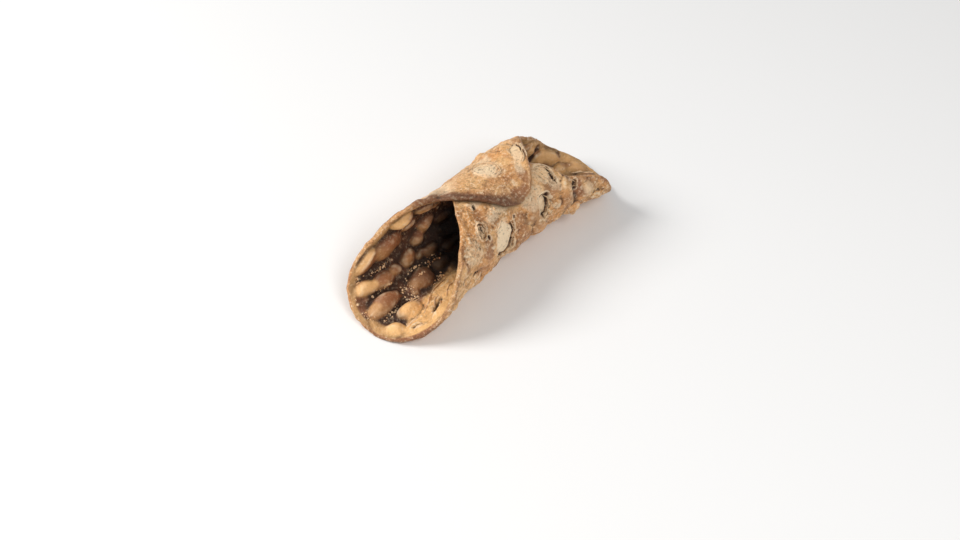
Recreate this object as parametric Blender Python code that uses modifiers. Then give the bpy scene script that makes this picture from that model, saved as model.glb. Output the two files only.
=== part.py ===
"""Empty cannoli shell: one square sheet of dough, wrapped on its diagonal round a tube and fried.

The tube's axis runs along X and the shell lies on its belly at z = 0. The near scoop opens at -X and
the far scoop at +X. The flap on the +Y side laps over the flap on the -Y side along the crown.
"""
import math

import bmesh
import bpy
from mathutils import Vector

OBJECT_NAME = "cannoli"
MM = 0.001

# The flat sheet, in millimetres: u runs along the tube and s round it, from the belly line s = 0.
SHEET_THICKNESS = 2.4
GRID_STEPS = 46
NEAR_CORNER = (-74.3, 7.2)
UNDER_CORNER = (-0.7, -71.9)
FAR_CORNER = (69.3, -0.5)
OVER_CORNER = (8.2, 74.7)
# The corners in order round the edge, each with the radius that rounds it off.
ROUNDED_CORNERS = ((NEAR_CORNER, 25.4), (UNDER_CORNER, 9.2), (FAR_CORNER, 16.1), (OVER_CORNER, 13.0))
ROUNDING_REACH = 3  # how sharply the rounding fades towards the middle of the sheet
# Waves of the edge: direction from the sheet's middle and half width in degrees, and outward reach.
EDGE_WAVES = ((-51.0, 5.5, -1.9), (-31.0, 9.5, 4.2))

# The wrap, in millimetres.
TUBE_RADIUS = 17.36  # tube axis to the middle of the sheet, at the waist
FLARE_STATION = 60.0  # distance from the waist at which the flares are given
NEAR_FLARE = (8.1, 12.0)  # widening of the near scoop on its +Y side and its -Y side
FAR_FLARE = (1.1, 7.2)
CROWN_SHARE = (-0.14, -0.46)  # share of the near and far flare that is left at the crown
SIDE_LEAN = (-2.5, -1.4)  # how far the +Y wall leans out near and far
CROWN_DROP = (-2.4, -0.7)  # how far the crown drops towards the near and far end
FAR_TUCK = 3.0  # how far the over flap's far edge is tucked in
BELT_SHARE = 0.8  # share of the belly's flare that stretches the sheet round the tube
AXIS_BOW = -3.4  # sideways bow of the tube axis at the flare station, the same way at both ends
AXIS_SKEW = -1.8  # and its opposite ways at the two ends
LAP_GAP = 0.4  # air left between the two lapped flaps
LAP_START = 130.0  # degrees from the belly at which the lap's spiral sets in
LAP_EASE = 10.0
REST_FLAT = 0.35  # depth of the belly's flat, worn where the shell lies

# Blisters: (u, s, half length along u, half length along s, height), on the inside and the outside.
INNER_BLISTERS = (
    (-44.5, 26.0, 7.5, 4.0, 3.0),
    (-34.5, 26.5, 8.0, 4.0, 3.0),
    (-25.0, 30.0, 6.0, 3.6, 3.0),
    (-15.0, 29.0, 4.2, 3.2, 2.4),
    (-47.0, 14.3, 8.5, 3.8, 3.0),
    (-28.0, 13.7, 3.4, 3.0, 2.2),
    (-49.0, 6.4, 7.8, 4.4, 3.8),
    (-29.3, 6.3, 6.2, 4.2, 3.4),
    (-45.0, -1.9, 6.8, 3.8, 3.2),
    (-56.8, -4.7, 4.0, 3.6, 2.0),
    (-17.5, 7.5, 4.0, 3.4, 2.0),
    (50.0, 17.0, 5.5, 5.0, 2.4),
    (38.5, 24.0, 5.0, 4.0, 2.2),
    (59.0, 3.0, 4.5, 5.0, 1.6),
)
OUTER_BLISTERS = (
    (-5.5, -31.0, 5.0, 7.5, 1.0),
    (15.5, -32.5, 4.5, 5.5, 1.1),
    (-15.5, -40.5, 4.0, 4.2, 0.9),
    (24.5, 54.0, 6.0, 6.5, 1.0),
    (4.5, 53.5, 4.4, 4.0, 0.9),
    (24.0, -43.0, 4.0, 4.5, 0.9),
    (38.8, -29.0, 3.6, 3.6, 1.2),
    (31.7, -19.7, 5.0, 5.0, 1.2),
    (14.6, -20.2, 5.0, 5.0, 1.1),
    (0.7, -20.2, 5.5, 4.5, 1.0),
    (-13.0, -20.5, 5.5, 4.5, 0.9),
    (-27.0, -22.5, 5.5, 4.5, 0.9),
)
MOST_RELIEF = 5.0  # room for the highest blister in the thickness weights

CUTTER_SIZE = (200.0, 120.0, 10.0)
MIDDLE = (0.63, -2.44)  # place on the wrapped shell, in millimetres, that stands over the origin

DOUGH_COLOUR = (0.55, 0.30, 0.12, 1.0)
DOUGH_ROUGHNESS = 0.62


def clear_scene():
    for obj in list(bpy.data.objects):
        bpy.data.objects.remove(obj, do_unlink=True)


def ease(x, start, end):
    """Smooth step from 0 at start to 1 at end."""
    t = min(max((x - start) / (end - start), 0.0), 1.0)
    return t * t * (3.0 - 2.0 * t)


def ramp(angle):
    """0 until the lap starts, then a straight rise that is 1 at the crown."""
    start = LAP_START - LAP_EASE
    full = 180.0 - LAP_START
    if angle < start:
        return 0.0
    if angle < LAP_START + LAP_EASE:
        return (angle - start) ** 2 / (4.0 * LAP_EASE) / full
    return (angle - LAP_START) / full


def flare(u, angle):
    """Extra radius away from the waist; angle is in degrees from the belly, positive towards +Y."""
    end = 0 if u < 0 else 1
    over_side, under_side = (NEAR_FLARE, FAR_FLARE)[end]
    toward_over = (math.sin(math.radians(min(max(angle, -90.0), 90.0))) + 1.0) / 2.0
    widest = over_side * toward_over + under_side * (1.0 - toward_over)
    widest *= 1.0 - ease(abs(angle), 60.0, 150.0) * (1.0 - CROWN_SHARE[end])
    widest += SIDE_LEAN[end] * ease(angle, 50.0, 100.0)
    drop = CROWN_DROP[end] * ease(abs(angle), 80.0, 150.0) * ease(abs(u), 8.0, 40.0)
    tuck = FAR_TUCK * ease(u, 22.0, 40.0) * ease(angle, 60.0, 110.0)
    return widest * (u / FLARE_STATION) ** 2 - drop - tuck


def wrap(u, s, lift):
    """Sheet point (u, s), raised by lift from the sheet's middle, as a place on the wrapped shell."""
    angle = math.degrees(s / (TUBE_RADIUS + BELT_SHARE * flare(u, 0.0)))
    spiral = (SHEET_THICKNESS + LAP_GAP) / 2.0 * (ramp(angle) - ramp(-angle))
    radius = TUBE_RADIUS + flare(u, angle) + spiral + lift
    along = u / FLARE_STATION
    side = AXIS_BOW * along ** 2 + AXIS_SKEW * along ** 3
    height = TUBE_RADIUS + SHEET_THICKNESS / 2.0 + flare(u, 0.0) - REST_FLAT
    turn = math.radians(angle)
    x = u - MIDDLE[0]
    y = side + radius * math.sin(turn) - MIDDLE[1]
    z = height - radius * math.cos(turn)
    return Vector((x, y, z)) * MM


def straight_reach(direction):
    """Distance from the sheet's middle to the edge of the square with sharp corners."""
    reach = math.inf
    for index, (corner, _radius) in enumerate(ROUNDED_CORNERS):
        start = Vector(ROUNDED_CORNERS[index - 1][0])
        side = Vector(corner) - start
        outward = Vector((side.y, -side.x))
        facing = outward.dot(direction)
        if facing > 0.0:
            reach = min(reach, outward.dot(start) / facing)
    return reach


def rounded_reach(direction):
    """The same distance with every corner rounded off."""
    count = len(ROUNDED_CORNERS)
    for index, (corner, radius) in enumerate(ROUNDED_CORNERS):
        tip = Vector(corner)
        back = (Vector(ROUNDED_CORNERS[index - 1][0]) - tip).normalized()
        ahead = (Vector(ROUNDED_CORNERS[(index + 1) % count][0]) - tip).normalized()
        half_angle = back.angle(ahead) / 2.0
        centre = tip + (back + ahead).normalized() * radius / math.sin(half_angle)
        first = tip + back * radius / math.tan(half_angle)
        last = tip + ahead * radius / math.tan(half_angle)
        if first.cross(direction) >= 0.0 and direction.cross(last) >= 0.0:
            along = direction.dot(centre)
            return along + math.sqrt(along ** 2 - centre.length_squared + radius ** 2)
    return straight_reach(direction)


def edge_wave(direction):
    bearing = math.degrees(math.atan2(direction.y, direction.x))
    return sum(
        depth * math.exp(-(((bearing - middle) / half_width) ** 2))
        for middle, half_width, depth in EDGE_WAVES
    )


def sheet_point(a, b):
    """Place on the flat sheet of the point (a, b) of a square that reaches from -1 to 1."""
    near = Vector(NEAR_CORNER) * (1.0 - a) * (1.0 - b)
    under = Vector(UNDER_CORNER) * (1.0 + a) * (1.0 - b)
    far = Vector(FAR_CORNER) * (1.0 + a) * (1.0 + b)
    over = Vector(OVER_CORNER) * (1.0 - a) * (1.0 + b)
    point = (near + under + far + over) / 4.0
    if point.length < 1.0:
        return point
    direction = point.normalized()
    reach = rounded_reach(direction) + edge_wave(direction)
    pull = reach / straight_reach(direction) - 1.0
    return point * (1.0 + pull * max(abs(a), abs(b)) ** ROUNDING_REACH)


def relief(point, blisters):
    """Height of the tallest blister over a sheet point: each one is a rounded mound."""
    height = 0.0
    for u, s, half_u, half_s, rise in blisters:
        share = ((point.x - u) / half_u) ** 2 + ((point.y - s) / half_s) ** 2
        height = max(height, rise * (1.0 - share))
    return height


def make_material(name, colour, roughness):
    material = bpy.data.materials.new(name)
    material.use_nodes = True
    shader = material.node_tree.nodes["Principled BSDF"]
    shader.inputs["Base Color"].default_value = colour
    shader.inputs["Roughness"].default_value = roughness
    shader.inputs["Metallic"].default_value = 0.0
    return material


def make_sheet():
    """The open middle surface, with the thickness at each point kept as a vertex weight."""
    mesh = bpy.data.meshes.new("shell")
    bm = bmesh.new()
    bmesh.ops.create_grid(bm, x_segments=GRID_STEPS, y_segments=GRID_STEPS, size=1.0)
    weights = bm.verts.layers.deform.new()
    for vert in bm.verts:
        point = sheet_point(vert.co.x, vert.co.y)
        inward = relief(point, INNER_BLISTERS)
        outward = relief(point, OUTER_BLISTERS)
        vert.co = wrap(point.x, point.y, (outward - inward) / 2.0)
        thickness = SHEET_THICKNESS + inward + outward
        vert[weights][0] = thickness / (SHEET_THICKNESS + MOST_RELIEF)
    bm.to_mesh(mesh)
    bm.free()
    return mesh


def make_rest_cutter(collection):
    """Block whose top is the surface that the shell lies on."""
    bpy.ops.mesh.primitive_cube_add(size=1.0)
    cutter = bpy.context.object
    cutter.name = "rest_cutter"
    for vert in cutter.data.vertices:
        x, y, z = vert.co
        vert.co = Vector((x * CUTTER_SIZE[0], y * CUTTER_SIZE[1], (z - 0.5) * CUTTER_SIZE[2])) * MM
    cutter.display_type = "WIRE"
    cutter.hide_render = True
    for owner in list(cutter.users_collection):
        owner.objects.unlink(cutter)
    collection.objects.link(cutter)
    return cutter


def make_shell(collection, cutter):
    shell = bpy.data.objects.new("shell", make_sheet())
    collection.objects.link(shell)
    shell.data.materials.append(make_material("fried_dough", DOUGH_COLOUR, DOUGH_ROUGHNESS))
    shell.vertex_groups.new(name="thickness")
    shell.data.shade_smooth()

    thicken = shell.modifiers.new("thicken", "SOLIDIFY")
    thicken.thickness = (SHEET_THICKNESS + MOST_RELIEF) * MM
    thicken.offset = 0.0
    thicken.vertex_group = "thickness"
    thicken.thickness_vertex_group = 0.0

    flatten = shell.modifiers.new("flatten", "BOOLEAN")
    flatten.operation = "DIFFERENCE"
    flatten.solver = "EXACT"
    flatten.object = cutter
    return shell


def new_collection(name):
    collection = bpy.data.collections.new(name)
    bpy.context.scene.collection.children.link(collection)
    return collection


def main():
    clear_scene()
    parts = new_collection(OBJECT_NAME)
    cutters = new_collection(OBJECT_NAME + "_cutters")
    make_shell(parts, make_rest_cutter(cutters))


main()
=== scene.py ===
"""Empty cannoli shell: a blistered square of fried dough wrapped on its diagonal into a tube.

The visual sheet repeats the wrap of the part's source, at a finer grid and with blisters, burst
bubbles, cracks and crumbs. On the flat sheet, u runs along the tube and s round it, from the belly line
s = 0. Lengths are in millimetres until they are scaled to the frame's metres.
"""
import itertools
import math

import bpy
import numpy as np
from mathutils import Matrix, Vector


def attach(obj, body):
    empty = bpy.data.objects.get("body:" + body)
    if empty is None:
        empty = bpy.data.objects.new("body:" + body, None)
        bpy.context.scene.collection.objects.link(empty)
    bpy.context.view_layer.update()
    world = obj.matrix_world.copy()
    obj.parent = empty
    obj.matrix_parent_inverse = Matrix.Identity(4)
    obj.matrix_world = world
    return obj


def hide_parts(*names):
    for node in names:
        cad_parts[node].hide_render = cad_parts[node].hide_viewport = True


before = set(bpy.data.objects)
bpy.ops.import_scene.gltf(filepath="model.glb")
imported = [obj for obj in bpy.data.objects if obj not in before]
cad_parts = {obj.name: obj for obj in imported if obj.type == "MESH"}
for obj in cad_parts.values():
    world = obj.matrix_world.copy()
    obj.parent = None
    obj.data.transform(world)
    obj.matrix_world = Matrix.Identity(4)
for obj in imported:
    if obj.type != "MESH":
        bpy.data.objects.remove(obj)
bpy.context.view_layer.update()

MM = 0.001

# ---- the sheet and its wrap, as in the part ----

SHEET_THICKNESS = 2.4
NEAR_CORNER = (-74.3, 7.2)
UNDER_CORNER = (-0.7, -71.9)
FAR_CORNER = (69.3, -0.5)
OVER_CORNER = (8.2, 74.7)
ROUNDED_CORNERS = ((NEAR_CORNER, 25.4), (UNDER_CORNER, 9.2), (FAR_CORNER, 16.1), (OVER_CORNER, 13))
ROUNDING_REACH = 3
EDGE_WAVES = ((-51, 5.5, -1.9), (-31, 9.5, 4.2))

TUBE_RADIUS = 17.36
FLARE_STATION = 60
NEAR_FLARE = (8.1, 12)
FAR_FLARE = (1.1, 7.2)
CROWN_SHARE = (-0.14, -0.46)
SIDE_LEAN = (-2.5, -1.4)
CROWN_DROP = (-2.4, -0.7)
FAR_TUCK = 3
BELT_SHARE = 0.8
AXIS_BOW = -3.4
AXIS_SKEW = -1.8
LAP_GAP = 0.4
LAP_START = 130
LAP_EASE = 10
REST_FLAT = 0.35
MIDDLE = (0.63, -2.44)


def ease(x, start, end):
    """Smooth step from 0 at start to 1 at end."""
    t = np.clip((x - start) / (end - start), 0, 1)
    return t * t * (3 - 2 * t)


def ramp(angle):
    """0 until the lap starts, then a straight rise that is 1 at the crown."""
    full = 180 - LAP_START
    blend = np.clip(angle - LAP_START + LAP_EASE, 0, 2 * LAP_EASE)
    beyond = np.maximum(angle - LAP_START - LAP_EASE, 0)
    return (blend ** 2 / (4 * LAP_EASE) + beyond) / full


def flare(u, angle):
    """Extra radius away from the waist; angle is in degrees from the belly, positive towards +Y."""
    over_side, under_side, crown_share, lean, drop = (
        np.where(u < 0, near, far)
        for near, far in (*zip(NEAR_FLARE, FAR_FLARE), CROWN_SHARE, SIDE_LEAN, CROWN_DROP)
    )
    toward_over = (np.sin(np.radians(np.clip(angle, -90, 90))) + 1) / 2
    widest = over_side * toward_over + under_side * (1 - toward_over)
    widest = widest * (1 - ease(np.abs(angle), 60, 150) * (1 - crown_share))
    widest = widest + lean * ease(angle, 50, 100)
    drop = drop * ease(np.abs(angle), 80, 150) * ease(np.abs(u), 8, 40)
    tuck = FAR_TUCK * ease(u, 22, 40) * ease(angle, 60, 110)
    return widest * (u / FLARE_STATION) ** 2 - drop - tuck


def belt(u):
    """Radius that turns a sheet length s into an angle round the tube."""
    return TUBE_RADIUS + BELT_SHARE * flare(u, np.zeros_like(u))


def wrap(u, s, lift):
    """Sheet points (u, s), raised by lift from the sheet's middle, as places on the wrapped shell."""
    angle = np.degrees(s / belt(u))
    spiral = (SHEET_THICKNESS + LAP_GAP) / 2 * (ramp(angle) - ramp(-angle))
    radius = TUBE_RADIUS + flare(u, angle) + spiral + lift
    along = u / FLARE_STATION
    side = AXIS_BOW * along ** 2 + AXIS_SKEW * along ** 3
    height = TUBE_RADIUS + SHEET_THICKNESS / 2 + flare(u, np.zeros_like(u)) - REST_FLAT
    x = u - MIDDLE[0]
    y = side + radius * np.sin(np.radians(angle)) - MIDDLE[1]
    z = height - radius * np.cos(np.radians(angle))
    return np.stack([x, y, np.maximum(z, 0)], axis=-1) * MM


def straight_reach(direction):
    """Distance from the sheet's middle to the edge of the square with sharp corners."""
    reach = math.inf
    for index, (corner, _radius) in enumerate(ROUNDED_CORNERS):
        start = Vector(ROUNDED_CORNERS[index - 1][0])
        side = Vector(corner) - start
        outward = Vector((side.y, -side.x))
        facing = outward.dot(direction)
        if facing > 0:
            reach = min(reach, outward.dot(start) / facing)
    return reach


def rounded_reach(direction):
    """The same distance with every corner rounded off."""
    count = len(ROUNDED_CORNERS)
    for index, (corner, radius) in enumerate(ROUNDED_CORNERS):
        tip = Vector(corner)
        back = (Vector(ROUNDED_CORNERS[index - 1][0]) - tip).normalized()
        ahead = (Vector(ROUNDED_CORNERS[(index + 1) % count][0]) - tip).normalized()
        half_angle = back.angle(ahead) / 2
        centre = tip + (back + ahead).normalized() * radius / math.sin(half_angle)
        first = tip + back * radius / math.tan(half_angle)
        last = tip + ahead * radius / math.tan(half_angle)
        if first.cross(direction) >= 0 and direction.cross(last) >= 0:
            along = direction.dot(centre)
            return along + math.sqrt(along ** 2 - centre.length_squared + radius ** 2)
    return straight_reach(direction)


BEARINGS = np.linspace(-180, 180, 1441)
DIRECTIONS = [Vector((math.cos(a), math.sin(a))) for a in np.radians(BEARINGS)]
STRAIGHT_REACH = np.array([straight_reach(d) for d in DIRECTIONS])
EDGE_REACH = np.array([rounded_reach(d) for d in DIRECTIONS])
for wave_bearing, wave_width, wave_depth in EDGE_WAVES:
    EDGE_REACH += wave_depth * np.exp(-(((BEARINGS - wave_bearing) / wave_width) ** 2))


def bearing(u, s):
    return np.degrees(np.arctan2(s, u))


def edge_share(u, s):
    """0 at the sheet's middle, 1 on its edge and more beyond it."""
    return np.hypot(u, s) / np.interp(bearing(u, s), BEARINGS, EDGE_REACH)


def sheet_point(a, b):
    """Places on the flat sheet of the points (a, b) of a square that reaches from -1 to 1."""
    near, under, far, over = (np.array(c)[:, None, None] for c, _ in ROUNDED_CORNERS)
    u, s = (
        near * (1 - a) * (1 - b)
        + under * (1 + a) * (1 - b)
        + far * (1 + a) * (1 + b)
        + over * (1 - a) * (1 + b)
    ) / 4
    reach = np.interp(bearing(u, s), BEARINGS, EDGE_REACH)
    pull = reach / np.interp(bearing(u, s), BEARINGS, STRAIGHT_REACH) - 1
    scale = 1 + pull * np.maximum(np.abs(a), np.abs(b)) ** ROUNDING_REACH
    return u * scale, s * scale


# ---- relief: blisters, bursts and grain ----

# A row of these tables is an oval on the sheet: (u, s, half length, half width, turn from the tube's
# axis in degrees, amount). The amount is a height, a depth or a strength from 0 to 1.
INNER_BLISTERS = (
    (-48, 25, 7.6, 4.6, 8, 3.2),
    (-36.5, 26, 8, 5.8, 14, 3.5),
    (-29.5, 37.6, 5.8, 4.2, 38, 3.6),
    (-18.2, 36.2, 5, 3.8, 30, 3),
    (-42, 34.5, 3.4, 2, 36, 1.2),
    (-22.8, 20, 4.4, 3.4, 10, 2.4),
    (-16.4, 23.6, 5, 4, 10, 2.8),
    (-25, 28.6, 4, 3, 20, 1.8),
    (-52.6, 15.4, 6, 3.6, -12, 3.2),
    (-45, 14, 6.6, 3.4, -6, 2.9),
    (-37.6, 14.6, 3.8, 2.8, 0, 2),
    (-30, 15.2, 4, 3.6, 20, 2.7),
    (-24.6, 12.8, 3.2, 2.6, 10, 1.7),
    (-51, 6, 8.4, 4.4, 2, 4.2),
    (-31.4, 4.4, 6.4, 4.8, 8, 3.9),
    (-36.6, 2.4, 2.6, 2.4, 0, 1.4),
    (-46.4, -3.4, 5.6, 3.9, -8, 3.4),
    (-39.8, -3.2, 4.2, 2.2, -20, 1.1),
    (-57.4, -5.8, 4.8, 4.2, 0, 2.6),
    (-19.8, 4.6, 4.6, 3.8, 0, 2.7),
    (-20.2, 11.6, 4.4, 3.6, 10, 2.5),
    (-24, -5, 5.2, 2.2, -10, 1.4),
    (-59, 19, 2, 1.6, 0, 0.7),
    (-51, -13.4, 4.2, 2.6, 120, 1.1),
    (49.6, 15.4, 6.2, 4.6, -30, 3.2),
    (52.2, 7.6, 4, 2.8, 0, 2.2),
    (58.4, 4.4, 4.6, 3.6, -20, 1.8),
    (42.4, 22.5, 4.4, 3.4, -20, 2.4),
    (43, 11, 4, 3.4, -10, 2.2),
)
INNER_BROWN_PATCHES = (
    (-49.4, 6.8, 8.4, 4.8, 4, 0.85),
    (-35, 25.4, 8.6, 6.4, 12, 0.8),
    (-31, 4.6, 8, 5.4, 10, 0.8),
    (-41.4, 13.6, 5, 3.6, 0, 0.5),
    (-25, 39, 4, 3, 38, 0.6),
    (-14.6, 37, 4, 3.4, 30, 0.6),
    (44, 5, 4, 4, 0, 0.7),
    (46.6, 11.4, 2, 3, 0, 0.8),
    (38.6, 27.4, 3.2, 4.4, 0, 0.7),
    (46.2, 20.8, 3, 2, 30, 0.85),
    (55.6, 13.8, 1.7, 1.7, 0, 0.75),
    (54.8, 7.2, 3, 1.8, -20, 0.75),
    (-60.5, 12.4, 2.2, 5, 0, 0.6),
)
# Yellow patches, mostly painted light on the lit ends of blisters and on walls of the two scoops.
INNER_YELLOW_PATCHES = (
    (-52.4, 24.6, 5, 3.4, 8, 0.65),
    (-53.2, 15.4, 5.4, 3.2, -8, 0.8),
    (-46.6, -3.4, 4.6, 3.4, -8, 0.8),
    (-57.6, -5.8, 4.4, 3.8, 0, 0.85),
    (-56.6, 5.6, 2.8, 3, 0, 0.4),
    (-31.6, 37, 3.8, 3.6, 38, 0.9),
    (-19.4, 35.8, 3, 2.6, 30, 0.45),
    (-24, -5, 5, 2, -10, 0.6),
    (50.4, 15.4, 4.6, 3.2, -30, 0.6),
    (52.4, 8, 3, 2.2, 0, 0.5),
    (59.6, 4.4, 4.4, 3.2, -20, 0.55),
    (43, 20, 5, 6, 0, 0.55),
    (55.6, 10.4, 3, 3, 0, 0.6),
    (49, 22, 3.6, 3, -40, 0.6),
    (-34, 41, 15, 4, 39, 0.75),
    (-60.2, -0.6, 2.8, 5.4, 0, 0.6),
    (-50, 29, 6, 2.2, 39, 0.5),
)
OUTER_BLISTERS = (
    (-12.8, -51.2, 3.8, 1.8, 84, 1.1),
    (-9, -46.5, 2.4, 2, 0, 0.6),
    (3.6, -25.2, 4.4, 5.4, 20, 1.5),
    (0.6, -19.6, 4.6, 4, 0, 1.3),
    (12.6, -25.4, 3.2, 5.6, -10, 1.3),
    (15, -19.2, 4.8, 3.6, 0, 1.5),
    (10.2, -34, 2.6, 4.6, 10, 0.8),
    (31.4, -21.6, 3.8, 3.6, 0, 2.1),
    (22.3, -29.4, 2, 2, 0, 1.3),
    (20.4, -33.8, 1.2, 1.2, 0, 0.9),
    (38.3, -29, 3.2, 3.2, 0, 1),
    (44, -23.4, 3.4, 2.8, 0, 1.2),
    (28, -33, 3.4, 6, 12, 1.5),
    (-19.8, -31.5, 5.4, 4, 60, 0.8),
    (-26, -24.5, 4.8, 3.6, 30, 1),
    (-27, -36, 3.6, 2, 80, 0.7),
    (-23.4, -40, 3.8, 1.8, 70, 0.7),
    (12, 47, 5.2, 3.6, 10, 0.7),
    (-18, 48.8, 6.4, 2.2, -17, 1.5),
    (-25.4, 46.6, 4, 2, 30, 1),
    (-13, -19.5, 5.5, 3.6, 0, 1.2),
    (-2, -24, 3.4, 3, 40, 0.9),
)
# Broad humps and hollows:
OUTER_HUMPS = (
    (21, -39, 8, 6, 20, 1.3),
    (28.6, -33, 4.6, 8, 12, 1.3),
    (11, -30, 3.6, 9, -6, 1.1),
    (-21, -37, 8, 7, 60, 0.9),
    (-7, -42, 9, 4, -10, 0.6),
    (37.5, -28, 4, 5, 0, 0.9),
    (46, -22, 6, 5, 0, 0.8),
    (33, -30.5, 2.4, 5.6, 12, -1.2),
    (18.6, -31, 2.2, 5.6, 0, -0.7),
    (6.6, -33, 2.2, 6, -6, -0.6),
    (-12, -33, 2.6, 7, 30, -0.5),
    (12, 52, 7, 7, 0, 0.8),
    (-2, 60, 10, 5, 20, 0.4),
    (16.6, 60, 2, 6, -10, -0.5),
)
OUTER_BROWN_PATCHES = (
    (-13.5, -44.5, 3, 5, 20, 0.5),
    (-9.5, -41.5, 4, 4, 0, 0.45),
    (1.5, -33, 3.6, 5, 10, 0.45),
    (2.4, -24, 5, 5, 0, 0.55),
    (11, -30, 3, 7, 0, 0.5),
    (21.5, -37.5, 4, 4, 0, 0.6),
    (28.4, -30, 4.4, 5.4, 0, 0.35),
    (33.6, -31, 3, 5, 0, 0.85),
    (27.8, -25.5, 2.2, 3, 0, 0.7),
    (18.2, -34, 1.6, 4.4, 0, 0.8),
    (17.6, -25.4, 2.2, 2.6, 0, 0.6),
    (-15.8, -33.4, 3, 5, 20, 0.7),
    (-9.6, -18.6, 4, 3, 0, 0.6),
    (-29, -35, 2, 4, 0, 0.5),
    (4, -32, 3, 5, 0, 0.6),
    (6.8, 67, 4.6, 2.8, 0, 0.8),
    (13, 63.5, 2.6, 4.6, 0, 0.7),
    (4, 60, 9, 4, 10, 0.3),
    (26, 50, 5, 3, 0, 0.35),
    (-22, -27, 4, 3, 40, 0.45),
    (41, -32, 3, 4, 0, 0.5),
    (46, -18, 4, 3, 0, 0.4),
)
OUTER_PALE_PATCHES = (
    (1.5, -42.6, 13, 2.4, -4, 0.6),
    (12, -38.5, 5, 4.4, 30, 0.5),
    (4.7, 52.8, 5, 4.4, 60, 0.7),
    (-20, 47, 12, 8, 0, 0.45),
    (-5, -36, 2.4, 3.4, 0, 0.4),
    (-24, -37, 5.4, 4.6, 50, 0.35),
    (23, -45, 4.4, 3, 70, 0.4),
    (38.3, -29, 2.6, 2.6, 0, 0.4),
    (13.8, 60, 2, 3.4, 24, 0.45),
    (7.8, 62.8, 1, 1, 0, 0.45),
    (2.6, 67.1, 1.2, 1, 0, 0.4),
    (22.3, -29.4, 1.5, 1.5, 0, 0.6),
    (8, 49, 3, 2, 0, 0.5),
    (-9.6, -49.6, 3.6, 1.6, 0, 0.5),
    (19.4, -43, 2.6, 3.6, 0, 0.45),
    (23.4, -37.6, 2.6, 2.4, 0, 0.35),
)
# Bursts: an oval whose amount is the floor's depth, then bearing of the torn side, its span, paleness of
# the floor, strength of the groove inside the torn side and of the painted shade in it.
BURSTS = (
    (-6.4, -31, 7.8, 5, 109, 0.45, -60, 150, 0.95, 0.9),
    (15.4, -32.9, 4.8, 3.1, 104, 0.9, -70, 170, 0.7, 1),
    (19.6, 55.5, 5.4, 2.8, 131, 0.5, -90, 130, 0.6, 1),
    (-16.2, -40.6, 3.4, 2.6, 104, 0.4, 180, 330, 0.3, 0.35),
    (4.7, 52.8, 5.2, 3.8, 60, 0.2, 0, 330, 0.5, 0.1),
    (22.2, -43.2, 5.4, 2.8, 76, 0.35, -75, 110, 0.4, 0.6),
    (32.8, -33.6, 2.2, 1.2, 110, 0.9, -80, 160, 0.1, 0.7),
)
# Slits and pinholes:
OUTER_HOLES = (
    (-11.4, -48.9, 1.3, 0.7, 120, 1.4),
    (-16.9, -40.6, 1.9, 0.4, 106, 0.9),
    (-15.5, -41, 1.7, 0.35, 100, 0.9),
    (-14.2, -37, 0.7, 0.6, 60, 1.4),
    (1.4, -36, 0.8, 0.6, 0, 1.6),
    (18.9, -36, 1.2, 0.9, 30, 1.8),
    (33.1, -31.8, 1.1, 0.8, 40, 1.4),
    (24, -41, 3.2, 0.5, 92, 1.2),
    (-25.2, -28.2, 2, 0.4, 20, 0.7),
)
INNER_HOLES = (
    (-37.6, -10.6, 4.4, 1.2, 36, 1.7),
    (-50.6, -13.4, 2.6, 0.55, 130, 1.2),
    (43.5, 18, 2.4, 1.2, 40, 1.2),
)
# Ragged ground of the outside:
ROUGH_PATCHES = (
    (-24.5, -38.5, 8, 5, 60, 1),
    (5, 52.5, 7, 5.5, 50, 1),
    (-3, -41.5, 13, 3.6, -6, 1),
    (10, -40, 6, 3, 0, 1),
    (22, -43, 6, 4, 80, 1),
    (-16, -40.6, 4.6, 3.6, 100, 1),
    (44, -22, 8, 6, 20, 1),
    (19, -29, 5, 4, 60, 1),
)

NOISE_SPAN = 240  # side of the square that the noise covers
# Layers of noise: (height, size of the lumps, seed).
OUTER_LUMPS = ((0.35, 15, 1), (0.36, 7, 2), (0.42, 3.6, 3), (0.22, 1.7, 4))
INNER_LUMPS = ((0.35, 13, 5), (0.22, 5, 6), (0.13, 1.6, 7), (0.06, 0.9, 10))
EDGE_LUMPS = ((0.25, 6, 8), (0.2, 2.2, 9))
OUTER_SINK = 0.35  # how far the outside is sunk, so that its lumps keep to the part's surface
# Unevenness of ovals: (shift, size of the lumps, seed).
OUTER_SHIFT = (0.9, 4, 81)
INNER_SHIFT = (0.9, 5, 83)
PATCH_SHIFT = (1, 3, 91)

MERGE_POWER = 2.2  # the higher, the more apart two blisters stay where they meet
# Power of a blister's profile: the lower, the fuller it is.
OUTER_PROFILE = 0.75
INNER_PROFILE = 0.8
SMALL_PROFILE = 0.9
HUMP_FALL = 1.4  # how fast a hump fades outwards

BURST_POWERS = (2.4, 1.6)  # of a burst's outline along and across it: 2 and 2 are an ellipse
BURST_DOME = 0.3  # swell of a burst's floor
BURST_RIM = 0.1  # height of its rim
TORN_RIM = 0.35  # extra height of the rim on the torn side
TORN_FADE = 20  # degrees over which the torn side fades out at its ends
GROOVE_DEPTH = 1.1  # depth of the groove inside the torn side


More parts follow.
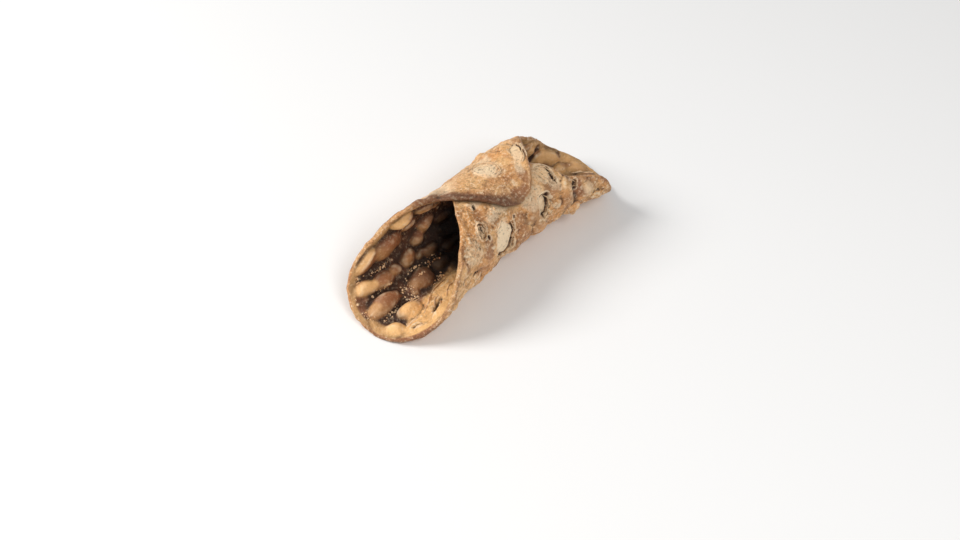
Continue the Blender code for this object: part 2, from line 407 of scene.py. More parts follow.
def soft_noise(u, s, size, seed):
    """Seeded smooth noise over the sheet, from -1 to 1, in lumps about size millimetres long."""
    turn = 0.7 + 1.3 * seed
    x = (u * math.cos(turn) + s * math.sin(turn)) / size
    y = (s * math.cos(turn) - u * math.sin(turn)) / size
    cells = int(NOISE_SPAN / size) + 4
    lattice = np.random.default_rng(seed).uniform(-1, 1, (cells, cells))
    x = np.clip(x + cells / 2, 0, cells - 1.001)
    y = np.clip(y + cells / 2, 0, cells - 1.001)
    i, j = x.astype(int), y.astype(int)
    fx, fy = ease(x - i, 0, 1), ease(y - j, 0, 1)
    i_next, j_next = np.minimum(i + 1, cells - 1), np.minimum(j + 1, cells - 1)
    low = lattice[i, j] * (1 - fx) + lattice[i_next, j] * fx
    high = lattice[i, j_next] * (1 - fx) + lattice[i_next, j_next] * fx
    return low * (1 - fy) + high * fy


def lumps(u, s, layers):
    """Height of several layers of noise together."""
    return sum(height * soft_noise(u, s, size, seed) for height, size, seed in layers)


def wrinkles(u, s, size, seed):
    """Thin crests on flat ground, from 0 to 1."""
    crest = 1 - np.abs(soft_noise(u, s, size, seed) + 0.5 * soft_noise(u, s, size / 2, seed + 1))
    return np.maximum(crest, 0) ** 3


def warped(u, s, amount, size, seed):
    """The point moved a little, so that ovals laid over it come out uneven."""
    return u + amount * soft_noise(u, s, size, seed), s + amount * soft_noise(u, s, size, seed + 1)


def in_axes(u, s, row):
    """The point along and across an oval, from its middle, in shares of its half length and half width."""
    turn = math.radians(row[4])
    along = (u - row[0]) * math.cos(turn) + (s - row[1]) * math.sin(turn)
    across = (s - row[1]) * math.cos(turn) - (u - row[0]) * math.sin(turn)
    return along / row[2], across / row[3]


def oval(u, s, row):
    """Squared distance from an oval's middle, 1 on its edge."""
    along, across = in_axes(u, s, row)
    return along ** 2 + across ** 2


def mounds(u, s, rows, profile):
    """Height of the blisters over each point, run together where they meet."""
    total = np.zeros_like(u)
    for row in rows:
        total += (row[5] * np.maximum(1 - oval(u, s, row), 0) ** profile) ** MERGE_POWER
    return total ** (1 / MERGE_POWER)


def strongest(u, s, rows, full, gone):
    """The largest amount that a list's ovals give a point, whole at squared distance full, 0 at gone."""
    amount = np.zeros_like(u)
    for row in rows:
        amount = np.maximum(amount, row[5] * (1 - ease(oval(u, s, row), full, gone)))
    return amount


def patches(u, s, rows):
    """How strongly the patches of a list colour each point, from 0 to 1."""
    return strongest(*warped(u, s, *PATCH_SHIFT), rows, 0.35, 1.5)


def pits(u, s, rows):
    """Depth of the slits and pinholes."""
    return strongest(u, s, rows, 0.3, 1.4)


def in_near_scoop(u, s):
    """True where the blisters of the near scoop are all listed."""
    return u < -15 and -16 < s < 33


def on_smooth_flap(u, s):
    """True on the smooth near side of the over flap."""
    return u < 14 and s > 34


SCATTER_ALONG = (-66, 66)
SCATTER_ROUND = (-72, 74)
CLEARANCE = 0.66  # least distance to a listed blister, as a share of the two half lengths


def scatter(count, seed, lengths, slimness, heights, avoid, turn_spread, packing, leave_out=None):
    """Seeded blisters all over the sheet, clear of the listed ones and of each other."""
    random = np.random.default_rng(seed)
    rows = []
    for _ in range(count):
        u, s = random.uniform(*SCATTER_ALONG), random.uniform(*SCATTER_ROUND)
        length = random.uniform(*lengths)
        row = (
            u, s, length, length * random.uniform(*slimness),
            random.uniform(-turn_spread, turn_spread), random.uniform(*heights),
        )
        clear = all(math.hypot(u - r[0], s - r[1]) > CLEARANCE * (r[2] + length) for r in avoid)
        if leave_out and leave_out(u, s):
            continue
        if clear and all(math.hypot(u - r[0], s - r[1]) > packing * (r[2] + length) for r in rows):
            rows.append(row)
    return tuple(rows)


def other_flap_share(u, s):
    """Edge share of the point of the other flap that is at the same place round the tube."""
    return edge_share(u, s - np.sign(s) * 2 * math.pi * belt(u))


def lapped(u, s):
    """1 where the two flaps lie on each other, easing to 0 just clear of that."""
    return 1 - ease(other_flap_share(u, s), 1, 1.05)


def burst_reach(u, s, row, seed):
    """Distance from a burst's middle, 1 on its ragged edge, and the bearing in its own axes."""
    along, across = in_axes(u, s, row)
    lens = np.sqrt(np.abs(along) ** BURST_POWERS[0] + np.abs(across) ** BURST_POWERS[1])
    ragged = 1 + lumps(u, s, ((0.12, 2.4, seed), (0.07, 1.1, seed + 1)))
    return lens * ragged, np.degrees(np.arctan2(across, along))


def burst_relief(u, s):
    """Height, paleness and painted shade of the burst blisters: floor, rim, and torn side with painted shade
    in its groove.
    """
    height, pale, dark = (np.zeros_like(u) for _ in range(3))
    for index, row in enumerate(BURSTS):
        depth, torn_side, torn_span, floor_paleness, groove_strength = row[5:]
        reach, angle = burst_reach(u, s, row, 40 + 2 * index)
        away = np.abs((angle - torn_side + 180) % 360 - 180)
        torn = 1 - ease(away, torn_span / 2 - TORN_FADE, torn_span / 2 + TORN_FADE)
        floor = 1 - ease(reach, 0.78, 0.98)
        rim = ease(reach, 0.86, 1.02) * (1 - ease(reach, 1.02, 1.45))
        groove = ease(reach, 0.74, 0.92) * (1 - ease(reach, 0.97, 1.05)) * torn * groove_strength
        dome = BURST_DOME * (1 - np.minimum(reach, 1) ** 2)
        height += floor * (dome - depth) + (BURST_RIM + TORN_RIM * torn) * rim - GROOVE_DEPTH * groove
        pale = np.maximum(pale, floor * (1 - groove) * floor_paleness)
        dark = np.maximum(dark, groove)
    return height, pale, dark


def burst_outline(row, bearings, swell):
    """Sheet points on a burst's edge, at these bearings in its own axes."""
    turn = math.radians(row[4])
    cosine, sine = np.cos(np.radians(bearings)), np.sin(np.radians(bearings))
    along = np.sign(cosine) * np.abs(cosine) ** (2 / BURST_POWERS[0]) * row[2] * swell
    across = np.sign(sine) * np.abs(sine) ** (2 / BURST_POWERS[1]) * row[3] * swell
    return np.stack([
        row[0] + along * math.cos(turn) - across * math.sin(turn),
        row[1] + along * math.sin(turn) + across * math.cos(turn),
    ], axis=-1)


def roughness(u, s):
    """How ragged the outside is, from 0 to 1."""
    everywhere = ease(soft_noise(u, s, 12, 31), 0.1, 0.7) * 0.6
    return np.maximum(everywhere, strongest(u, s, ROUGH_PATCHES, 0.5, 1.3))


def outer_relief(u, s):
    """Height, paleness and painted shade of the outside: in the bursts' grooves and in the slits and
    pinholes.
    """
    wu, ws = warped(u, s, *OUTER_SHIFT)
    height = lumps(u, s, OUTER_LUMPS) - OUTER_SINK
    for row in OUTER_HUMPS:
        height += row[5] * np.exp(-HUMP_FALL * oval(wu, ws, row))
    height += np.maximum(*(mounds(wu, ws, rows, OUTER_PROFILE) for rows in (OUTER_BLISTERS, OUTER_SCATTER)))
    height += mounds(u, s, OUTER_SMALL, SMALL_PROFILE)
    rough = roughness(u, s)
    height += rough * (0.34 * wrinkles(u, s, 3.4, 33) + 0.22 * soft_noise(u, s, 1.1, 35) - 0.1)
    burst_height, pale, dark = burst_relief(u, s)
    holes = pits(wu, ws, OUTER_HOLES)
    height = height * (1 - 0.85 * ease(pale, 0.2, 0.9)) + burst_height - holes
    share = edge_share(u, s)
    near_rim = ease(-u, 20, 40) * ease(share, 0.88, 1)
    height = height * (1 - 0.6 * near_rim) - 0.3 * near_rim * ease(-s, -14, 0)
    height *= 1 - lapped(u, s)
    return height, pale, np.maximum(0.85 * dark, 0.8 * np.minimum(holes / 1.2, 1))


def inner_relief(u, s):
    """Height of the inside, and painted shade in its slits."""
    wu, ws = warped(u, s, *INNER_SHIFT)
    height = lumps(u, s, INNER_LUMPS)
    large = np.maximum(*(mounds(wu, ws, rows, INNER_PROFILE) for rows in (INNER_BLISTERS, INNER_SCATTER)))
    height += large + mounds(u, s, INNER_SMALL, INNER_PROFILE) * (1 - ease(large, 0.2, 1.5))
    band = flaky_band(u, s)
    height += band * (0.9 * wrinkles(u * 0.5 + 0.3 * s, s, 3.6, 37) + 0.2 * soft_noise(u, s, 1.2, 36) - 0.3)
    holes = pits(wu, ws, INNER_HOLES)
    height -= holes
    height *= ease(1 - edge_share(u, s), 0, 0.07) * (1 - lapped(u, s))
    return height, 0.8 * np.minimum(holes, 1)


def flaky_band(u, s):
    """1 in the pale flaky band along the -Y side of the near scoop."""
    top = 2 + 0.25 * (u + 20) + 1.2 * soft_noise(u, s, 5, 38)
    return ease(top - s, 0, 2.4) * ease(-u, 14, 22) * (1 - ease(-u, 55, 61))


INNER_SCATTER = scatter(
    count=900, seed=11, lengths=(3.4, 6.6), slimness=(0.5, 0.75), heights=(1.4, 2.7),
    avoid=INNER_BLISTERS, turn_spread=16, packing=0.6, leave_out=in_near_scoop,
)
INNER_SMALL = scatter(
    count=500, seed=12, lengths=(0.8, 2), slimness=(0.6, 1), heights=(0.3, 0.8),
    avoid=(), turn_spread=90, packing=0.5,
)
OUTER_SCATTER = scatter(
    count=700, seed=21, lengths=(1.6, 4.6), slimness=(0.6, 1), heights=(0.4, 1.2),
    avoid=OUTER_BLISTERS + BURSTS, turn_spread=90, packing=0.6, leave_out=on_smooth_flap,
)
OUTER_SMALL = scatter(
    count=1600, seed=22, lengths=(0.5, 1.2), slimness=(0.6, 1), heights=(0.15, 0.4),
    avoid=BURSTS, turn_spread=90, packing=0.5,
)


# ---- where the dough is browner ----

# Strength of each mask where it is strongest.
FLAP_TOAST = 0.9
EDGE_TOAST = 0.6
FLAP_SCORCH = 0.6
# painted shade in the strip inside the near lip
STRIP_SHADE = 0.8
LOW_LIP_TOAST = 0.5
# painted shade on the blisters' inward sides
BLISTER_SHADE = 0.5
# band and lip yellow: partly pale dough, partly painted light
BAND_YELLOW = 0.9
LIP_YELLOW = 0.6
# painted light on the blisters' outward sides
BLISTER_LIGHT = 0.34
# painted light in the far scoop
FAR_LIGHT = 0.7
# painted shade deep in the tube
TUNNEL_DARKNESS = 0.96
# painted shadow under the over flap's edge
CONTACT_DARKNESS = 0.75
# painted shade on the rim
RIM_DARKNESS = 0.5


def outer_toast(u, s, share):
    """Browning of the outside: patches, the near edge of the over flap, and all the edges a little."""
    flap = ease(s, 22, 34) * ease(10 - u, 0, 10)
    near_flap_edge = FLAP_TOAST * flap * ease(share + 0.04 * soft_noise(u, s, 7, 51), 0.90, 0.97)
    edges = EDGE_TOAST * ease(share, 0.975, 1)
    return np.maximum.reduce([near_flap_edge, edges, patches(u, s, OUTER_BROWN_PATCHES)])


def scorched_edge(u, s, share):
    """The darkest strip, along the near edge of the over flap."""
    flap = ease(s, 26, 38) * ease(12 - u, 0, 10) * (0.4 + 0.6 * ease(u, -30, -14))
    return FLAP_SCORCH * flap * ease(share + 0.02 * soft_noise(u, s, 3, 52), 0.945, 0.985)


def lit_and_shaded_sides(u, s):
    """How strongly each blister's side towards the scoop's mouth is painted lit and its inward side painted
    shaded.
    """
    lit_sides, shaded_sides = np.zeros_like(u), np.zeros_like(u)
    wu, ws = warped(u, s, *INNER_SHIFT)
    for row in INNER_BLISTERS:
        outward = (wu - row[0]) / row[2] * math.copysign(1, row[0]) + 0.5 * (row[1] - ws) / row[3]
        on_blister = 1 - ease(oval(wu, ws, row), 0.5, 1.15)
        lit_sides = np.maximum(lit_sides, on_blister * ease(outward, -0.1, 1))
        shaded_sides = np.maximum(shaded_sides, on_blister * ease(-outward, -0.5, 0.7))
    return lit_sides, shaded_sides


def inner_toast_and_shade(u, s, share):
    """Browning of the inside in patches and along the low lip, and painted shade in a strip inside the near
    lip and on the blisters' inward sides.
    """
    wavy = share + 0.015 * soft_noise(u, s, 5, 55)
    # painted shade in the low strip just inside the near lip
    strip = ease(wavy, 0.86, 0.90) * (1 - ease(wavy, 0.94, 0.97))
    strip = strip * ease(s, -6, 2) * (1 - ease(s, 22, 28))
    low_lip = LOW_LIP_TOAST * ease(wavy, 0.94, 0.97) * ease(-u, 42, 50) * ease(-s, -4, 6)
    # painted shade on the blisters' inward sides
    shaded_sides = BLISTER_SHADE * lit_and_shaded_sides(u, s)[1] * (u < 0)
    return np.maximum.reduce([STRIP_SHADE * strip, low_lip, shaded_sides, patches(u, s, INNER_BROWN_PATCHES)])


def inner_yellow(u, s, share):
    """Yellow of the inside: flaky band and lip, partly pale dough and partly painted light; painted light on
    the blisters' outward sides, in the far scoop and in most patches.
    """
    wider = 0.035 * ease(s, 12, 26) * (u < 0)
    # the lip: partly pale dough, partly painted light
    lip = LIP_YELLOW * ease(share + wider + 0.01 * soft_noise(u, s, 4, 56), 0.96, 0.98)
    lip = lip * (1 - 0.8 * ease(-u, 42, 50) * ease(-s, -10, 2))
    # painted light on the blisters' sides towards the scoop's mouth
    blisters = BLISTER_LIGHT * lit_and_shaded_sides(u, s)[0]
    # painted light in the far scoop
    far = FAR_LIGHT * ease(u, 30, 42) * ease(s, -6, 6)
    # the flaky band: partly pale dough, partly painted light
    band = BAND_YELLOW * flaky_band(u, s)
    yellow = np.maximum.reduce([band, lip, blisters, far, patches(u, s, INNER_YELLOW_PATCHES)])
    return yellow * (1 - 0.9 * patches(u, s, INNER_BROWN_PATCHES) * (u > 0))


def inner_roughness(u, s, relief):
    """The inside is smooth on the blisters and rougher between them and in the flaky band."""
    low = ease(sunk(relief, BROAD_BLUR), -0.4, 0.6)
    return np.maximum(0.2 + 0.6 * low, 0.7 * flaky_band(u, s))


def tunnel_shade(u, s, share):
    """Painted shade on the inside, darkening from the two scoops into the closed part of the tube."""
    near_share = share + 0.30 * ease(s, 18, 30)
    near = 1 - ease(near_share + 0.05 * soft_noise(u, s, 9, 53), 0.30, 0.76)
    near = near * (1 - 0.8 * flaky_band(u, s))
    far = 1 - ease(share + 0.05 * soft_noise(u, s, 9, 54), 0.26, 0.48)
    return TUNNEL_DARKNESS * np.where(u < 0, near, np.maximum(far, near))


def contact_shade(u, s):
    """Painted shadow under the over flap and along its edge, on the outside of the other flap."""
    return CONTACT_DARKNESS * (1 - ease(other_flap_share(u, s), 0.99, 1.05)) * (s < 0)


# ---- the shell's mesh ----

SHELL_STEPS = 214
RIM_STEPS = 6
# Paint masks, which the pieces carry as attributes and the material reads.
# Several stand for light: the hollow masks give painted shade and highlights, yellow is partly painted light,
# dark and the browning mask are partly painted shade, and the last is painted shade.
MASKS = ("hollow", "fine_hollow", "inside", "pale", "yellow", "dark", "browning_and_shade", "painted_shade", "rough")
RIM_ROUND = 0.7  # how far the rim bulges outwards
RIM_FULLNESS = 0.6  # power of the bulge's profile: the lower, the fuller
# How many times a relief is averaged to find its hollows.
BROAD_BLUR = 110
OUTER_BLUR = 30
FINE_BLUR = 3
# Small waves of the edge, on top of the part's: (bearing, half width, outward reach).
EDGE_NICKS = ((-117, 5, -1), (-101, 3, 1.2), (-126, 2.5, 0.6), (-160, 18, 0.7), (0, 9, -0.8))


def blurred(field, times):
    """The field averaged with its neighbours, several times over."""
    for _ in range(times):
        padded = np.pad(field, 1, mode="edge")
        field = (
            padded[1:-1, 1:-1] * 2 + padded[:-2, 1:-1] + padded[2:, 1:-1]
            + padded[1:-1, :-2] + padded[1:-1, 2:]
        ) / 6
    return field


def sunk(field, times):
    """How far each point lies below the average round it."""
    return blurred(field, times) - field


def border(field):
    """Values of a grid once round its border, in order."""
    return np.concatenate([field[:-1, 0], field[-1, :-1], field[:0:-1, -1], field[0, :0:-1]])


def grid_faces(index):
    """Quads of a grid of vertex numbers."""
    return np.stack([index[:-1, :-1], index[1:, :-1], index[1:, 1:], index[:-1, 1:]], axis=-1).reshape(-1, 4)


def ring_faces(lower, upper):
    """Quads between two closed rings of vertex numbers."""
    return np.stack([lower, np.roll(lower, -1), np.roll(upper, -1), upper], axis=-1)


def new_object(name, data):
    obj = bpy.data.objects.new(name, data)
    bpy.context.scene.collection.objects.link(obj)
    return obj


def new_mesh_object(name, points, faces):
    mesh = bpy.data.meshes.new(name)
    mesh.from_pydata([tuple(p) for p in points], [], [tuple(f) for f in faces])
    mesh.validate()
    mesh.shade_smooth()
    return new_object(name, mesh)


def set_attribute(obj, name, values):
    attribute = obj.data.attributes.new(name, "FLOAT", "POINT")
    attribute.data.foreach_set("value", np.asarray(values, np.float32))


def paint_evenly(obj, amounts):
    """The shell's paint masks on another piece, at one value all over it or one for each vertex."""
    for name in MASKS:
        set_attribute(obj, name, np.full(len(obj.data.vertices), amounts.get(name, 0)))


def uneven_edge(u, s):
    """The sheet's points with its edge pushed in and out a little."""
    reach = np.hypot(u, s)
    push = lumps(u, s, EDGE_LUMPS) - 0.2 * RIM_ROUND
    for middle, width, depth in EDGE_NICKS:
        push += depth * np.exp(-(((bearing(u, s) - middle) / width) ** 2))
    grow = 1 + push * ease(edge_share(u, s), 0.85, 1) / np.maximum(reach, 1)
    return u * grow, s * grow


def rim_points(u, s, top, bottom):
    """Rings of points that round the edge off, from the outside, at lift top, to the inside."""
    reach = np.hypot(u, s)
    rings = []
    for number in range(1, RIM_STEPS):
        share = number / RIM_STEPS
        bulge = RIM_ROUND * math.sin(math.pi * share) ** RIM_FULLNESS
        bulge = bulge * (1 + 0.35 * soft_noise(u, s, 1.8, 70 + number))
        grow = 1 + bulge / reach
        rings.append(wrap(u * grow, s * grow, top * (1 - share) + bottom * share))
    return rings


def rim_masks(u, s):
    """Painted shade and browning round the rim: low on the near scoop and along the over flap's near edge,
    and browning all round.
    """
    around = np.arange(1, RIM_STEPS)[:, None] / RIM_STEPS
    low = ease(-u, 44, 51) * ease(-s, -10, 2)
    flap = ease(u, -34, -20) * ease(10 - u, 0, 8) * ease(s, 40, 50)
    dark = RIM_DARKNESS * (low * (1 - ease(around, 0.1, 0.6)) + flap)
    return dark, 0.25 + 0.6 * np.maximum(low, flap)


def paint_shell(shell, u, s, outer, inner):
    """Paint masks of the shell, each given for the outside, the inside and the rim."""
    outer, outer_pale, outer_dark = outer
    inner, inner_dark = inner
    none, share = np.zeros_like(u), edge_share(u, s)
    scorch = scorched_edge(u, s, share)
    light = np.maximum(0.9 * outer_pale, patches(u, s, OUTER_PALE_PATCHES))
    light = light * (1 - 0.9 * ease(scorch, 0, 0.3))
    yellow = inner_yellow(u, s, share)
    rim_dark, rim_toast = rim_masks(border(u), border(s))
    masks = {
        "hollow": (sunk(outer, OUTER_BLUR), sunk(inner, BROAD_BLUR) * (1 - 0.5 * yellow), 0),
        "fine_hollow": (sunk(outer, FINE_BLUR), sunk(inner, FINE_BLUR) * (1 - 0.2 * yellow), 0),
        "inside": (none, np.ones_like(u), 0),
        "pale": (light, none, 0),
        "yellow": (none, yellow, 0),
        "dark": (np.maximum(outer_dark, scorch), inner_dark, rim_dark),
        "browning_and_shade": (outer_toast(u, s, share), inner_toast_and_shade(u, s, share), rim_toast),
        "rough": (0.3 + 0.7 * roughness(u, s), inner_roughness(u, s, inner), 0.6),
        "painted_shade": (contact_shade(u, s), tunnel_shade(u, s, share), 0),
    }
    for name, (outside, inside, on_rim) in masks.items():
        on_rim = np.broadcast_to(on_rim, (RIM_STEPS - 1, border(u).size))
        set_attribute(shell, name, np.concatenate([outside.ravel(), inside.ravel(), on_rim.ravel()]))


def make_shell():
    """The closed sheet: outside, inside and a rounded rim between them."""
    step = np.linspace(-1, 1, SHELL_STEPS + 1)
    u, s = uneven_edge(*sheet_point(*np.meshgrid(step, step, indexing="ij")))
    outer, outer_pale, outer_dark = outer_relief(u, s)
    inner, inner_dark = inner_relief(u, s)
    inner = blurred(inner, 1)
    top, bottom = SHEET_THICKNESS / 2 + outer, -SHEET_THICKNESS / 2 - inner

    outer_index = np.arange(u.size).reshape(u.shape)
    inner_index = outer_index + u.size
    rim = rim_points(border(u), border(s), border(top), border(bottom))
    rim_index = 2 * u.size + np.arange(len(rim) * len(rim[0])).reshape(len(rim), -1)
    rings = [border(outer_index), *rim_index, border(inner_index)]
    faces = [grid_faces(outer_index), grid_faces(inner_index)[:, ::-1]]
    faces += [ring_faces(low, high)[:, ::-1] for low, high in zip(rings[:-1], rings[1:])]
    points = [wrap(u, s, top).reshape(-1, 3), wrap(u, s, bottom).reshape(-1, 3), *rim]
    shell = new_mesh_object("fried_shell", np.concatenate(points), np.concatenate(faces))
    paint_shell(shell, u, s, (outer, outer_pale, outer_dark), (inner, inner_dark))
    return shell


# ---- torn lips of the bursts ----

# Lips off the bursts' own edges: side (1 outside, -1 inside), rise, lean to the left of the line, the line.
OTHER_LIPS = (
    (1, 0.6, -0.3, ((-17.4, -42.6), (-17.4, -40.6), (-16.6, -38.8))),
    (1, 0.6, 0.3, ((-15.9, -42.8), (-16.1, -40.8), (-15.3, -38.6))),
    (1, 0.8, -0.4, ((19.2, -46.2), (20.2, -43.6), (21.2, -41.2), (21.6, -38.6))),
    (1, 0.6, 0.3, ((18.2, -44.6), (18.6, -42), (19.6, -39.8))),
    (1, 0.9, 0.5, ((30.2, -36.4), (32.2, -35.8), (34, -33.8), (34.4, -31.2))),
    (1, 0.7, 0.4, ((14.2, -27.2), (17, -26.6), (19.4, -25.4))),
    (1, 1, -0.6, ((28.2, -23.6), (30.2, -20.4), (33, -20.2), (35, -22.6))),
    (1, 0.6, 0.3, ((-10.4, -36.2), (-7.6, -38.2), (-4.2, -38.6), (-2.4, -37.4))),
    (1, 0.5, 0.3, ((-28.4, -29.2), (-25.6, -27), (-22.4, -26.8))),
    (1, 0.5, 0.3, ((-27.6, -34.6), (-26.6, -37.6), (-26.8, -40))),
    (1, 0.5, -0.3, ((-24.8, -35.4), (-23.4, -38.6), (-23.6, -41.4))),
    (1, 0.45, 0.3, ((0.4, 49.4), (2.2, 47.8), (4.6, 47.6), (7, 48.8))),
    (1, 0.45, 0.3, ((8.6, 50), (9, 52.6), (7.8, 55.4), (5.4, 56.8))),
    (1, 0.45, 0.3, ((3.6, 57), (1.2, 55.8), (0.2, 53.4), (0.6, 51.4))),
    (1, 0.4, -0.3, ((2.6, 50.6), (4.8, 50.2), (6.6, 51.6), (6.4, 54))),
    (-1, 0.9, -0.5, ((-32.6, -6.4), (-36, -8.2), (-39.4, -10.8), (-42.6, -13.4))),
    (-1, 0.9, 0.5, ((-33, -8.6), (-35.6, -11.2), (-38.6, -13.6), (-41.8, -15.4))),
    (-1, 0.5, -0.3, ((-52.8, -11.4), (-50.6, -12.4), (-48.4, -14.4))),
    (-1, 0.5, 0.3, ((-53, -12.8), (-50.8, -14.4), (-48.8, -15.6))),
    (-1, 0.8, 0.5, ((-21.4, -1.8), (-26, -2.4), (-32, -2.8), (-37.6, -5.6), (-44, -9.8))),
    (-1, 0.6, 0.4, ((-24, -7.6), (-28.6, -8.6), (-33, -11.6))),
    (-1, 0.6, -0.4, ((-46, -9), (-49, -9.4), (-53, -8.6))),
    (-1, 0.7, 0.5, ((54.4, 2.6), (58, 0.6), (61.4, -2.4))),
    (-1, 0.6, -0.5, ((46.4, -6), (51, -5.2), (56, -5.8))),
)
LIP_ROWS = 5
LIP_SPACING = 0.35  # between the points along a lip
LIP_THICKNESS = 0.34
LIP_TAPER = 0.6  # share of the thickness that is lost towards the torn edge
LIP_ROOT = 0.4  # how deep a lip is rooted in the surface
LIP_TEETH = (0.45, 1)  # least and most height of the torn edge, as a share of the rise
LIP_LIMIT = 0.99  # lips end at this share of the way to the sheet's edge
BURST_LIP = (0.9, 0.8)  # rise and lean of a lip on a burst's edge
BURST_SWELL = 1.06  # size of the line it follows, against the burst's edge


def smooth_line(nodes, spacing):
    """Points about spacing apart on a smooth curve through the nodes."""
    nodes = np.array(nodes, float)
    knots = np.concatenate([[0], np.cumsum(np.hypot(*np.diff(nodes, axis=0).T))])
    slopes = np.gradient(nodes, knots, axis=0)
    place = np.linspace(0, knots[-1], max(8, int(knots[-1] / spacing)))
    k = np.clip(np.searchsorted(knots, place) - 1, 0, len(knots) - 2)
    gap = (knots[k + 1] - knots[k])[:, None]
    t = (place - knots[k])[:, None] / gap
    return (
        (2 * t ** 3 - 3 * t ** 2 + 1) * nodes[k] + (t ** 3 - 2 * t ** 2 + t) * gap * slopes[k]
        + (3 * t ** 2 - 2 * t ** 3) * nodes[k + 1] + (t ** 3 - t ** 2) * gap * slopes[k + 1]
    )


def kept_on_sheet(u, s):
    """The points, with those that lie past the sheet's edge drawn back to it."""
    pull = np.minimum(1, LIP_LIMIT / edge_share(u, s))
    return u * pull, s * pull


def surface_lift(u, s, side):
    """Lift of the outside (side 1) or the inside (side -1) at each point, relief included."""
    relief = outer_relief(u, s)[0] if side > 0 else inner_relief(u, s)[0]
    return side * (SHEET_THICKNESS / 2 + relief)


def unit(vectors):
    """The vectors at length 1."""
    return vectors / np.maximum(np.linalg.norm(vectors, axis=-1, keepdims=True), 1e-12)


def solid_sheet(middle, thickness):
    """Closed slab, as points and faces, round a grid of points that tapers to its far side."""
    normal = unit(np.cross(np.gradient(middle, axis=0), np.gradient(middle, axis=1)))
    half = normal * (thickness * MM / 2)[..., None]
    top = np.arange(middle[..., 0].size).reshape(middle.shape[:2])
    bottom = top + top.size
    points = np.concatenate([(middle + half).reshape(-1, 3), (middle - half).reshape(-1, 3)])
    sides = ring_faces(border(top), border(bottom))[:, ::-1]
    return points, np.concatenate([grid_faces(top), grid_faces(bottom)[:, ::-1], sides])


def make_lip(side, rise, lean, nodes, seed):
    """A thin torn lip of dough along a line, rooted in the surface and leaning to one side."""
    line = np.stack(kept_on_sheet(*smooth_line(nodes, LIP_SPACING).T), axis=-1)
    heading = unit(np.gradient(line, axis=0))
    along = np.linspace(0, 1, len(line))
    teeth = np.random.default_rng(seed).uniform(*LIP_TEETH, len(line) // 3 + 2)
    teeth = np.interp(along, np.linspace(0, 1, len(teeth)), teeth)
    size = (teeth * np.sin(np.pi * np.clip(along, 0.03, 0.97)) ** 0.5)[:, None]
    t = np.linspace(0, 1, LIP_ROWS)[None, :]
    across = lean * t ** 1.5 * size
    u, s = kept_on_sheet(line[:, :1] - heading[:, 1:] * across, line[:, 1:] + heading[:, :1] * across)
    ground = surface_lift(line[:, 0], line[:, 1], side)[:, None]
    lift = ground + side * (rise * np.sin(t * math.pi / 2) * size - LIP_ROOT * (1 - t))
    return solid_sheet(wrap(u, s, lift), LIP_THICKNESS * (1 - LIP_TAPER * t))


def join_parts(parts):
    """Points and faces of several meshes, as one."""
    points, faces, count = [], [], 0
    for part_points, part_faces in parts:
        points.append(part_points)
        faces.append(part_faces + count)
        count += len(part_points)
    return np.concatenate(points), np.concatenate(faces)


def make_lips():
    """All the torn lips, joined: the ones in the list and one on the torn side of each burst."""
    parts = [make_lip(*row, 300 + index) for index, row in enumerate(OTHER_LIPS)]
    for index, row in enumerate(BURSTS):
        half_span = row[7] / 2 + 5
        bearings = np.linspace(row[6] - half_span, row[6] + half_span, 9)
        parts.append(make_lip(1, *BURST_LIP, burst_outline(row, bearings, BURST_SWELL), 400 + index))
    lips = new_mesh_object("burst_lips", *join_parts(parts))
    paint_evenly(lips, {"pale": 0.55, "rough": 0.4})
    return lips


# ---- crumbs and loose flakes ----

# Heaps of crumbs: side, u, s, spread along u, spread along s, how many. Those on the over flap's tip
# give none, because the flaps lie on each other there, but their random draws set the later ones.
CRUMB_HEAPS = (
    (-1, -42.5, 18.4, 3.6, 0.8, 26),
    (-1, -53.8, 20.4, 2.4, 1.2, 16),
    (-1, -59.6, 13.6, 1.2, 2.4, 18),
    (-1, -59.8, 5.6, 1.2, 2.6, 18),
    (-1, -48, 11, 5, 0.6, 22),
    (-1, -51.6, 0.9, 3.4, 1, 34),
    (-1, -50.4, -8.4, 3.6, 1, 34),
    (-1, -39.4, 5.4, 2.6, 2, 30),
    (-1, -40.6, -0.4, 2.4, 1.6, 44),
    (-1, -38.8, -6.2, 3.6, 0.8, 26),
    (-1, -30.6, 9.6, 3.4, 0.8, 24),
    (-1, -31.6, 5, 1, 0.8, 12),
    (-1, -22.6, 7.6, 3, 1.6, 24),
    (-1, -25.5, -0.6, 4, 1, 20),
    (-1, 48, 8, 5, 4, 14),
    (1, 4.7, 52.6, 2.4, 2, 70),
    (1, 3, 47.4, 5, 1.6, 26),
    (1, 0.7, 62.1, 0.9, 0.9, 22),
    (1, 6, 62, 6, 3, 18),
    (1, 2, -42.6, 9, 1.3, 90),
    (1, 22, -43, 2.4, 3.4, 26),
    (1, -24, -38, 4, 4, 24),
    (1, 0, 20, 30, 24, 60),
    (1, 8, -34, 20, 9, 60),
)

BALL_SIDE = 1.1  # longer than the sides of a ball's triangles and shorter than its other chords
HEAP_FALL = 1.6  # how much tighter than its spread a heap is
CRUMB_TILT = 0.5  # most tilt, in radians
CRUMB_LEAST = 0.13  # half length of the smallest crumb
CRUMB_GAMMA = (2.5, 0.09)  # shape and scale of what is added to it
CRUMB_WIDTH = (0.45, 0.9)  # as shares of the length
CRUMB_HEIGHT = (0.25, 0.6)
CRUMB_LUMPS = (0.75, 1.2)  # how far its corners are pulled in and out
CRUMB_PALENESS = (0, 0.65)


